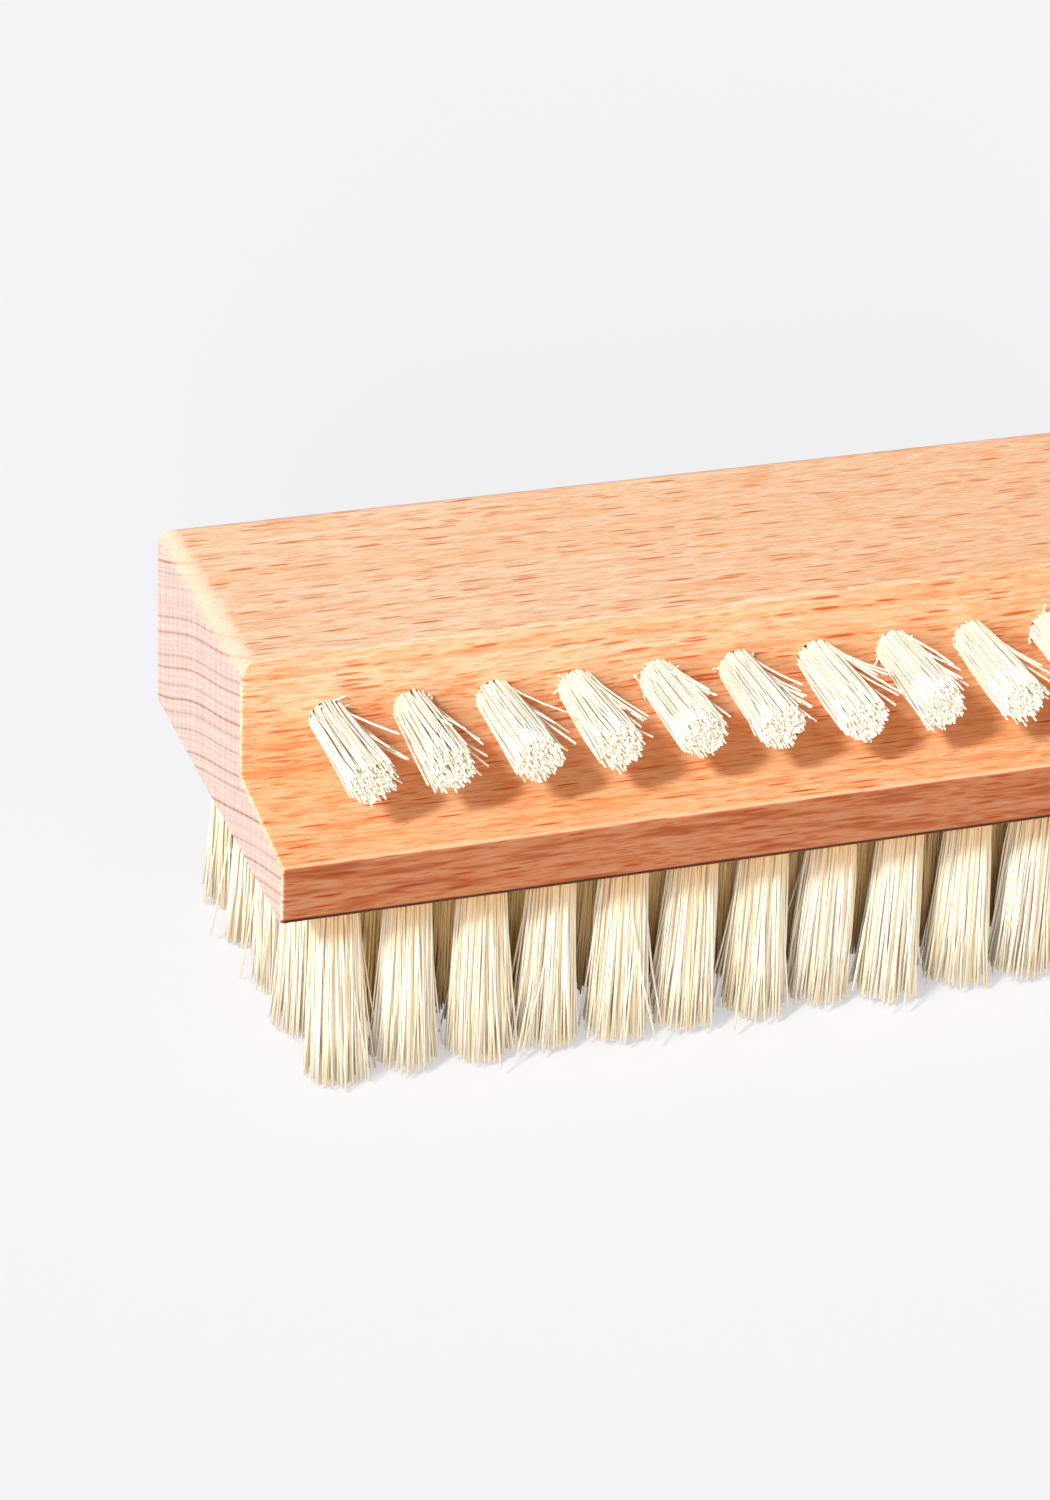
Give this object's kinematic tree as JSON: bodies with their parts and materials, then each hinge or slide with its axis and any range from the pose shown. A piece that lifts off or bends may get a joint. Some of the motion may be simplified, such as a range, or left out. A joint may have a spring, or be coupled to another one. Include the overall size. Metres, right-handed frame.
{
  "type": "nail brush",
  "caption": "Wooden nail brush: a beech block with a rabbeted front, short bristle tufts pointing forward over the ledge for nails, and longer tufts underneath for scrubbing hands.",
  "frame": {"origin": "under the middle of the block, on the surface that the scrubbing tufts stand on", "axes": "+X along the block and its grain, +Y from the ledge to the back, +Z from the tuft tips to the top"},
  "size_m": [0.095, 0.04, 0.0355],
  "materials": {
    "oiled_beech": "fine-sanded steamed beech with a thin oil, short dark flecks along the grain",
    "bristle": "pale natural bristle, cream to straw, slightly glossy",
    "anchor_wire": "bright flat staple wire"
  },
  "bodies": {
    "root": {"back_tuft_01": "bristle", "back_tuft_02": "bristle", "back_tuft_03": "bristle", "back_tuft_04": "bristle", "back_tuft_05": "bristle", "back_tuft_06": "bristle", "back_tuft_07": "bristle", "back_tuft_08": "bristle", "back_tuft_09": "bristle", "back_tuft_10": "bristle", "back_tuft_11": "bristle", "back_tuft_12": "bristle", "back_tuft_13": "bristle", "back_tuft_14": "bristle", "beech_block": "oiled_beech", "field_anchors": "anchor_wire", "front_tuft_01": "bristle", "front_tuft_02": "bristle", "front_tuft_03": "bristle", "front_tuft_04": "bristle", "front_tuft_05": "bristle", "front_tuft_06": "bristle", "front_tuft_07": "bristle", "front_tuft_08": "bristle", "front_tuft_09": "bristle", "front_tuft_10": "bristle", "front_tuft_11": "bristle", "front_tuft_12": "bristle", "front_tuft_13": "bristle", "front_tuft_14": "bristle", "inner_tufts_row_2": "bristle", "inner_tufts_row_3": "bristle", "inner_tufts_row_4": "bristle", "left_tuft_2": "bristle", "left_tuft_3": "bristle", "left_tuft_4": "bristle", "nail_anchors": "anchor_wire", "nail_tuft_01": "bristle", "nail_tuft_02": "bristle", "nail_tuft_03": "bristle", "nail_tuft_04": "bristle", "nail_tuft_05": "bristle", "nail_tuft_06": "bristle", "nail_tuft_07": "bristle", "nail_tuft_08": "bristle", "nail_tuft_09": "bristle", "nail_tuft_10": "bristle", "nail_tuft_11": "bristle", "nail_tuft_12": "bristle", "right_tuft_2": "bristle", "right_tuft_3": "bristle", "right_tuft_4": "bristle"}
  },
  "joints": []
}
